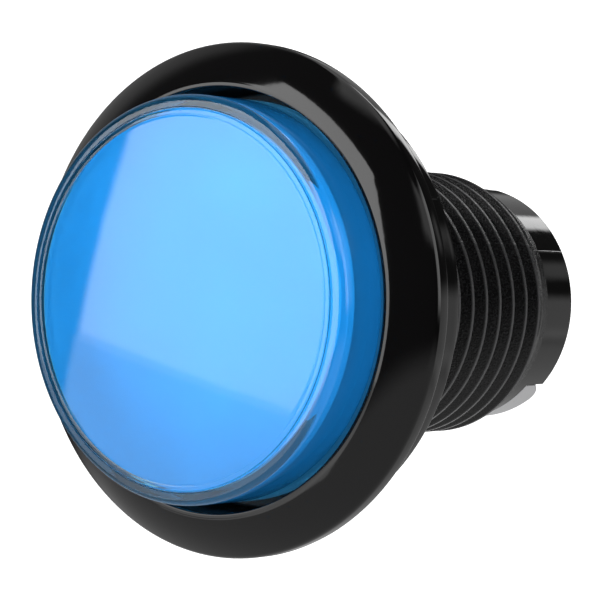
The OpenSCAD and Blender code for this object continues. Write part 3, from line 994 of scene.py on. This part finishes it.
# ---------------------------------------------------------------------------------- the cap
@dataclass
class Cap:
    """The tinted cap with the parts that move with it.

    Sizes are in millimetres. The fine line is line_wide wide and line_deep deep. The section's
    first satin_rows rows, its inside and its lower end, are satin, and the rest is clear.
    """

    outer_r: float = 23.4
    wall: float = 1.6
    skirt_z: float = 6.2
    edge_z: float = 17.0
    edge_r: float = 0.9
    crown: float = 0.8
    step: float = 0.25
    step_r: float = 21.7
    face_t: float = 2.0
    bead: float = 0.5
    line_r: float = 21.0
    line_deep: float = 0.05
    line_wide: float = 0.11
    satin_rows: int = 17
    satin_slot: ClassVar[int] = 1
    even_columns: int = 192

    def section(self) -> Array:
        """Closed section of the cap: down the inside from the axis and up the outside.

        The face is an arc of height crown - step over the radius step_r, so its radius is
        (step_r^2 + h^2) / (2 h). A narrow groove and a step stand where the face meets the edge,
        and a finer line lies inside them, line_deep * exp(-((r - line_r) / line_wide)^2) deep.

        Returns:
            Array of (radius, height) points.
        """
        inner_r = self.outer_r - self.wall
        under = self.edge_z - self.face_t
        h = self.crown - self.step
        big = (self.step_r**2 + h**2) / (2 * h)
        wide_steps = np.linspace(0.0, self.line_r - 0.4, 26)
        fine_steps = np.linspace(self.line_r - 0.35, self.step_r - 0.25, 14)
        r = np.concatenate([wide_steps, fine_steps])[::-1]
        dent = self.line_deep * np.exp(-(((r - self.line_r) / self.line_wide) ** 2))
        top = self.edge_z + self.crown - big + np.sqrt(big**2 - r**2) - dent
        dome = np.stack([r, top], axis=-1)
        step_z = self.edge_z + self.step
        return np.concatenate([
            line((0.0, under), (12.0, under), (inner_r - 0.3, under)),
            arc((inner_r - 0.3, under - 0.3), 0.3, 90, 0, 4),
            line((inner_r, 10.0), (inner_r, self.skirt_z + self.bead),
                 (inner_r - self.bead, self.skirt_z + 0.1),
                 (inner_r - self.bead + 0.1, self.skirt_z), (self.outer_r - 0.2, self.skirt_z)),
            arc((self.outer_r - 0.2, self.skirt_z + 0.2), 0.2, -90, 0, 4),
            line((self.outer_r, 10.0), (self.outer_r, 14.0)),
            arc((self.outer_r - self.edge_r, self.edge_z - self.edge_r), self.edge_r, 0, 90, 14),
            line((self.step_r + 0.28, self.edge_z), (self.step_r + 0.2, self.edge_z - 0.1),
                 (self.step_r + 0.1, self.edge_z - 0.1), (self.step_r, self.edge_z + 0.02)),
            arc((self.step_r - 0.12, step_z - 0.12), 0.12, 0, 80, 4),
            dome,
        ])

    def build(self) -> None:
        """Makes the cap, whose satin inside has a weak painted glow, and gives the plunger and the
        diffuser their finishes, both with a painted glow.
        """
        profile, angles = self.section(), columns(self.even_columns)
        under = Patch(lathe(profile[: self.satin_rows], angles), slot=self.satin_slot)
        shell = Patch(lathe(profile[self.satin_rows - 1 :], angles))
        piece = mesh_object("tinted_cap", [under, shell], sharp=25.0)
        wear(piece, BLUE_CLEAR, BLUE_SATIN)
        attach(piece, "plunger")
        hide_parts("lens_cap")
        dress("diffuser_disc", MILK_WHITE)
        dress("plunger", STEM_WHITE)
        log.info("tinted cap: %d faces", len(piece.data.polygons))


# ---------------------------------------------------------------------------------- the spring
@dataclass
class ReturnSpring:
    """The wire spring under the plunger's head, with a closed turn at each end.

    Sizes are in millimetres: the wire's and the coil's diameters, the ends' heights at rest, the
    plunger's travel, and the gap under the spring that its squashing starts from; the travel and
    the gap are not used.
    """

    wire: float = 1.0
    coil: float = 23.0
    active: int = 5
    low_z: float = -9.9
    high_z: float = 6.7
    travel: float = 4.0
    under: float = 0.1
    closed_pitch: float = 1.05
    per_turn: int = 40
    round_wire: int = 12

    def centre_line(self, turns: Array) -> Array:
        """Height of the wire's centre: a closed turn, an even pitch, and a closed turn.

        Args:
            turns: Turns from the spring's lower end.

        Returns:
            Heights, on straight lines between the ends of the three stretches.
        """
        closed = self.wire * self.closed_pitch
        low, high = self.low_z + self.wire / 2, self.high_z - self.wire / 2
        marks = [0.0, 1.0, 1.0 + self.active, 2.0 + self.active]
        return np.interp(turns, marks, [low, low + closed, high - closed, high])

    def build(self) -> None:
        """Sweeps a circle along the helix; its ends close on a point."""
        total = self.active + 2
        turns = np.linspace(0, total, total * self.per_turn + 1)
        around = np.linspace(0, FULL_TURN, self.round_wire, endpoint=False)[None, :]
        path = np.concatenate([turns[:1], turns, turns[-1:]])[:, None]
        size = np.concatenate([[0.0], np.full(len(turns), self.wire / 2), [0.0]])[:, None]
        radius = self.coil / 2 + size * np.cos(around)
        height = self.centre_line(path) + size * np.sin(around)
        grid = turn(radius, height, FULL_TURN * path)
        piece = mesh_object("spring_coil", [Patch(grid)], sharp=50.0)
        wear(piece, SPRING_STEEL)
        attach(piece, "housing")
        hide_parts("return_spring")
        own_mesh(piece)
        log.info("return spring: %d faces", len(piece.data.polygons))


# ---------------------------------------------------------------------------------- switch, lamp
@dataclass
class Insides:
    """Switch, lamp and their holder: CAD pieces that keep their shape and take a finish."""

    finishes: dict[str, Finish] = field(default_factory=lambda: {
        "switch_holder": GREY_NYLON,
        "switch_base": SWITCH_BLACK,
        "switch_cover": SWITCH_BLACK,
        "switch_button": SIGNAL_RED,
        "contact_blade": BRONZE,
        "moving_contact": SILVER,
        "open_contact": SILVER,
        "closed_contact": SILVER,
        "lamp_base": SHELL_WHITE,
        "lamp_lens": WATER_CLEAR,
        "led_board": BOARD_WHITE,
        "led_chip": PHOSPHOR,
        "lamp_wires": SILVER,
    })

    def build(self) -> None:
        """Dresses each piece."""
        for node, finish in self.finishes.items():
            dress(node, finish)


@dataclass
class Tabs:
    """Terminals: the CAD strips with narrowed tips, a wire hole and softened edges.

    Sizes are in millimetres: the bevel's width, the narrowed tip's length with the share of the
    width left at its end, the length of strip that is measured, and the hole's radius and place.
    """

    nodes: tuple[str, ...] = (
        "common_terminal", "open_terminal", "closed_terminal", "lamp_terminal_a", "lamp_terminal_b",
    )
    edge: float = 0.08
    tip: float = 0.9
    tip_share: float = 0.62
    foot: float = 4.0
    hole_r: float = 0.6
    hole_up: float = 2.6

    def strip(self, node: str) -> tuple[bpy.types.Mesh, Array, int]:
        """A copy of the node's strip with a narrowed tip.

        The lowest points move towards the strip's middle, so that the width left at the very end
        is tip_share of the whole.

        Args:
            node: Name of the node.

        Returns:
            The mesh, the middle of the hole in metres, and the axis across the strip: 0 or 1.
        """
        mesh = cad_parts[node].data.copy()
        bm = bmesh.new()
        bm.from_mesh(mesh)
        bmesh.ops.remove_doubles(bm, verts=bm.verts, dist=0.001 * MM)
        bmesh.ops.dissolve_limit(bm, angle_limit=0.02, verts=bm.verts, edges=bm.edges)
        low = min(v.co.z for v in bm.verts)
        bmesh.ops.bisect_plane(
            bm, geom=[*bm.verts, *bm.edges, *bm.faces], dist=1e-7,
            plane_co=(0, 0, low + self.tip * MM), plane_no=(0, 0, 1),
        )
        bm.to_mesh(mesh)
        bm.free()
        points = np.empty(len(mesh.vertices) * 3, np.float32)
        mesh.vertices.foreach_get("co", points)
        points = points.reshape(-1, 3)
        foot = points[:, 2] < low + self.foot * MM
        middle = (points[foot].min(axis=0) + points[foot].max(axis=0)) / 2
        size = np.ptp(points[foot], axis=0)
        end = points[:, 2] < low + 0.01 * MM
        points[end, :2] = middle[:2] + (points[end, :2] - middle[:2]) * self.tip_share
        mesh.vertices.foreach_set("co", points.ravel())
        middle[2] = low + self.hole_up * MM
        return mesh, middle, int(size[0] > size[1])

    def drill(self, middle: Array, across: int) -> bpy.types.Object:
        """A short closed cylinder through the strip: (reach cos a, reach sin a) at each depth.

        Args:
            middle: Middle of the hole, in metres.
            across: The cylinder's axis: 0 for X, 1 for Y.

        Returns:
            The cylinder, which is removed again after the cut.
        """
        ring = np.linspace(0, FULL_TURN, 20, endpoint=False)
        reach = np.array([0.0, self.hole_r, self.hole_r, 0.0])[:, None]
        depth = np.array([-1.0, -1.0, 1.0, 1.0])[:, None]
        wide, tall, deep = np.broadcast_arrays(reach * np.cos(ring), reach * np.sin(ring), depth)
        grid = np.stack([deep, wide, tall] if across == 0 else [wide, deep, tall], axis=-1)
        return mesh_object("drill", [Patch(grid + middle / MM)])

    def build(self) -> None:
        """Makes each terminal in the place of its CAD node."""
        for node in self.nodes:
            mesh, middle, across = self.strip(node)
            piece = bpy.data.objects.new(f"{node}_tab", mesh)
            bpy.context.scene.collection.objects.link(piece)
            drill = self.drill(middle, across)
            cut = piece.modifiers.new("hole", "BOOLEAN")
            cut.operation, cut.object, cut.solver = "DIFFERENCE", drill, "EXACT"
            soften = piece.modifiers.new("edges", "BEVEL")
            soften.width, soften.segments, soften.limit_method = self.edge * MM, 2, "ANGLE"
            graph = bpy.context.evaluated_depsgraph_get()
            piece.data = bpy.data.meshes.new_from_object(piece.evaluated_get(graph))
            piece.modifiers.clear()
            bpy.data.objects.remove(drill, do_unlink=True)
            piece.data.materials.clear()
            wear(piece, TINNED)
            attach(piece, "housing")
            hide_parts(node)
            log.info("%s: %d faces", piece.name, len(piece.data.polygons))


# ---------------------------------------------------------------------------------- the studio
@dataclass(frozen=True)
class SoftBox:
    """A flat lamp.

    Attributes:
        name: Name of the lamp.
        corner: One corner, in metres, as (right, up, forward) seen from the camera.
        along: First edge, in the same directions.
        across: Second edge.
        radiance: Brightness of its face.
        low_share: Share of the brightness left at the start of its second edge.
        soft: Width of its soft sides, as a share of its size.
    """

    name: str
    corner: tuple[float, float, float]
    along: tuple[float, float, float]
    across: tuple[float, float, float]
    radiance: float
    low_share: float = 1.0
    soft: float = 0.014


@dataclass(frozen=True)
class Window:
    """A bright part of the surround, by its limits in degrees.

    Attributes:
        left: First limit, round from the lens towards the camera's right.
        right: Second limit.
        low: Lower limit over the lens axis.
        high: Upper limit.
        soft: Half the width of its soft sides.
        level: Brightness.
    """

    left: float
    right: float
    low: float
    high: float
    soft: float
    level: float


@dataclass
class Studio:
    """Camera, floor, surround and lamps.

    Attributes:
        eye: Place of the camera, in millimetres.
        right: Direction of the camera's right.
        up: Direction of the camera's top.
        lens: Focal length in millimetres.
        floor_drop: How far the floor lies under the panel face, in metres.
        floor_half: Half the floor's side, in metres.
        floor_glow: Brightness that the floor has of its own.
        dusk: Heights in degrees between which the pale room below comes up.
        dusk_levels: Brightness of the room above and below.
        windows: The bright parts of the surround.
        box_normal: Direction of the lamps from the button.
        box_side: A direction in the lamps' plane, square to the next one.
        box_lift: The other direction in that plane.
        box_turn: Cosine and sine of the lamps' turn in their plane.
        box_away: Distance of the lamps' plane from the button, in metres.
        box_corner: Place of the key box's corner in that plane, in millimetres.
        key_size: Sides of the key box, in metres.
        low_size: Sides of the low box, in metres.
        low_shift: How far the low box lies beside and behind the key box's corner, in metres.
    """

    eye: tuple[float, float, float] = (176.79, -1.94, 224.35)
    right: tuple[float, float, float] = (0.79304, 0.0, -0.60914)
    up: tuple[float, float, float] = (0.00429, 0.99998, 0.00559)
    lens: float = 144.0
    floor_drop: float = 0.35
    floor_half: float = 2.5
    floor_glow: float = 0.85
    dusk: tuple[float, float] = (-11.0, -24.0)
    dusk_levels: tuple[float, float] = (0.05, 0.62)
    windows: tuple[Window, ...] = (
        Window(58.0, 97.0, -3.0, 38.0, 5.0, 2.6),
        Window(8.0, 60.0, 20.0, 38.0, 3.5, 1.1),
        Window(98.0, 178.0, -18.0, 2.5, 3.0, 0.6),
        Window(112.0, 119.0, 12.0, 20.0, 2.5, 0.4),
        Window(136.0, 147.0, 24.0, 58.0, 2.0, 4.0),
        Window(147.0, 176.0, 20.0, 60.0, 3.0, 0.42),
        Window(-40.0, 170.0, 60.0, 100.0, 6.0, 1.1),
        Window(-200.0, -115.0, 8.0, 62.0, 12.0, 0.3),
    )
    box_normal: Vector = field(default_factory=lambda: Vector((-0.609, 0.007, 0.793)).normalized())
    box_side: Vector = field(default_factory=lambda: Vector((0.793, 0.0, 0.609)))
    box_lift: Vector = field(default_factory=lambda: Vector((0.0, 1.0, 0.0)))
    box_turn: tuple[float, float] = (0.957, 0.289)
    box_away: float = 0.6
    box_corner: tuple[float, float] = (-113.5, -24.0)
    key_size: tuple[float, float] = (0.56, 0.69)
    low_size: tuple[float, float] = (0.5, 0.3)
    low_shift: tuple[float, float] = (0.293, 0.01)

    def axes(self) -> tuple[Vector, Vector, Vector]:
        """Unit vectors to the camera's right, up and back."""
        right, up = Vector(self.right).normalized(), Vector(self.up).normalized()
        return right, up, right.cross(up).normalized()

    def camera(self) -> None:
        """A long lens that looks at the front of the button from beside its axis."""
        data = bpy.data.cameras.new("camera")
        data.lens = self.lens
        data.sensor_width = 36.0
        data.clip_start, data.clip_end = 0.01, 50.0
        obj = bpy.data.objects.new("camera", data)
        bpy.context.scene.collection.objects.link(obj)
        right, up, back = self.axes()
        turned = Matrix((right, up, back)).transposed().to_4x4()
        obj.matrix_world = Matrix.Translation(Vector(self.eye) * MM) @ turned
        bpy.context.scene.camera = obj

    def floor(self) -> None:
        """A plain pale floor well below the button, which lights nothing."""
        half = self.floor_half
        corners = np.array([[[-half, -half], [half, -half]], [[-half, half], [half, half]]]) / MM
        grid = np.concatenate([corners, np.full((2, 2, 1), -self.floor_drop / MM)], axis=-1)
        obj = mesh_object("floor", [Patch(grid, wrap=None)], outward=False)
        made = bpy.data.materials.new("pale_floor")
        made.use_nodes = True
        made.node_tree.nodes.clear()
        board = Board(made.node_tree)
        shader = board.add("ShaderNodeBsdfPrincipled", {
            "Base Color": (0.8, 0.8, 0.8, 1.0),
            "Roughness": 0.9,
            "Emission Color": WHITE,
            "Emission Strength": self.floor_glow,
        })
        board.link(shader.outputs["BSDF"], board.add("ShaderNodeOutputMaterial").inputs["Surface"])
        obj.data.materials.append(made)
        obj.visible_glossy = False
        obj.visible_diffuse = False
        obj.visible_transmission = False

    def surround(self) -> None:
        """The room's light: pale below, dim above, and its bright windows.

        Strength = the smooth step from dim to pale over the dusk + the sum of the windows. Camera
        rays see plain white, so nothing but the floor's tone shows behind the button.
        """
        world = bpy.data.worlds.new("surround")
        bpy.context.scene.world = world
        world.use_nodes = True
        world.node_tree.nodes.clear()
        board = Board(world.node_tree)
        way = board.add("ShaderNodeTexCoord").outputs["Generated"]
        side, rise, near = (board.dot(way, axis) for axis in self.axes())
        across = board.math("MULTIPLY", board.math("ARCTAN2", side, near), math.degrees(1))
        height = board.math("MULTIPLY", board.math("ARCSINE", rise), math.degrees(1))
        light = board.remap(height, *self.dusk, *self.dusk_levels)
        for window in self.windows:
            shape = Effects.place(board, Effect.WINDOW, {
                "Across": across, "Height": height, "Left": window.left, "Right": window.right,
                "Low": window.low, "High": window.high, "Soft": window.soft, "Level": window.level,
            })
            light = board.math("ADD", light, shape.outputs["Value"])
        glow = board.add("ShaderNodeBackground", {"Color": WHITE, "Strength": light})
        plain = board.add("ShaderNodeBackground", {"Color": WHITE, "Strength": 1.0})
        seen = board.add("ShaderNodeLightPath").outputs["Is Camera Ray"]
        mix = board.add("ShaderNodeMixShader", {0: seen, 1: glow.outputs[0], 2: plain.outputs[0]})
        board.link(mix.outputs[0], board.add("ShaderNodeOutputWorld").inputs["Surface"])

    def lamp(self, box: SoftBox) -> None:
        """Hangs one soft box; its face points at the button, and cameras don't see it.

        Args:
            box: The lamp's sizes and place.
        """
        right, up, back = self.axes()
        eye = Vector(self.eye) * MM

        def spot(v: tuple[float, float, float]) -> Vector:
            """A camera-frame vector in the button's frame."""
            return right * v[0] + up * v[1] - back * v[2]

        along, across = spot(box.along), spot(box.across)
        centre = eye + spot(box.corner) + along / 2 + across / 2
        normal = along.cross(across).normalized()
        if normal.dot(centre) < 0:
            along, across, normal = across, along, -normal
        data = bpy.data.lights.new(box.name, "AREA")
        data.shape = "RECTANGLE"
        data.size, data.size_y = along.length, across.length
        data.energy = box.radiance * math.pi * along.length * across.length
        obj = bpy.data.objects.new(box.name, data)
        bpy.context.scene.collection.objects.link(obj)
        x_axis = along.normalized()
        y_axis = normal.cross(x_axis)
        turned = Matrix((x_axis, y_axis, normal)).transposed().to_4x4()
        obj.matrix_world = Matrix.Translation(centre) @ turned
        obj.visible_camera = False
        self.face(data, box)

    def face(self, data: bpy.types.Light, box: SoftBox) -> None:
        """Gives a soft box soft sides and a brighter far end.

        Brightness = rise(u) * rise(1 - u) * rise(v) * rise(1 - v) * fade(v), with u and v from 0 to
        1 over the face, rise a smooth step over the soft width, and fade one from low_share up to 1
        over the nearer half.

        Args:
            data: The lamp.
            box: Its description.
        """
        data.use_nodes = True
        data.node_tree.nodes.clear()
        board = Board(data.node_tree)
        spot = board.add("ShaderNodeNewGeometry").outputs["Parametric"]
        parts = board.add("ShaderNodeSeparateXYZ", {0: spot})
        value = board.remap(parts.outputs["Y"], 0.0, 0.5, box.low_share, 1.0)
        for axis in ("X", "Y"):
            share = parts.outputs[axis]
            value = board.math("MULTIPLY", value, board.remap(share, 0.0, box.soft))
            value = board.math("MULTIPLY", value, board.remap(share, 1.0, 1.0 - box.soft))
        glow = board.add("ShaderNodeEmission", {"Color": WHITE, "Strength": value})
        board.link(glow.outputs[0], board.add("ShaderNodeOutputLight").inputs["Surface"])

    def build(self) -> None:
        """Sets up everything that isn't the button."""
        self.camera()
        self.floor()
        self.surround()
        for box in self.boxes():
            self.lamp(box)
        bpy.context.scene.view_settings.view_transform = "Standard"

    def boxes(self) -> list[SoftBox]:
        """The lamps: a large key box beside the camera and a dimmer one under it.

        Returns:
            The two boxes, whose sides overlap so that no dark line shows between them.
        """
        right, up, back = self.axes()

        def seen(v: Vector) -> tuple[float, float, float]:
            """A vector of the button's frame as (right, up, forward)."""
            return (v.dot(right), v.dot(up), -v.dot(back))

        cos, sin = self.box_turn
        along = self.box_side * cos - self.box_lift * sin
        across = self.box_side * sin + self.box_lift * cos
        beside, above = self.box_corner
        corner = Vector((0, 0, 0.017)) + self.box_normal * self.box_away
        corner += (self.box_side * beside + self.box_lift * above - Vector(self.eye)) * MM
        shift, behind = self.low_shift
        low_corner = corner - across * shift - self.box_normal * behind
        return [
            SoftBox(
                "key_box",
                seen(corner), seen(along * self.key_size[0]), seen(across * self.key_size[1]),
                radiance=4.8, low_share=0.8,
            ),
            SoftBox(
                "low_box",
                seen(low_corner), seen(along * self.low_size[0]), seen(across * self.low_size[1]),
                radiance=1.8, low_share=0.6,
            ),
        ]


def main() -> None:
    """Builds the studio, then each sub-assembly, and reports them."""
    logging.basicConfig(level=logging.INFO, format="%(name)s: %(message)s")
    Studio().build()
    for part in (Housing(), Cap(), ReturnSpring(), Insides(), Tabs()):
        part.build()


if __name__ == "__main__":
    main()
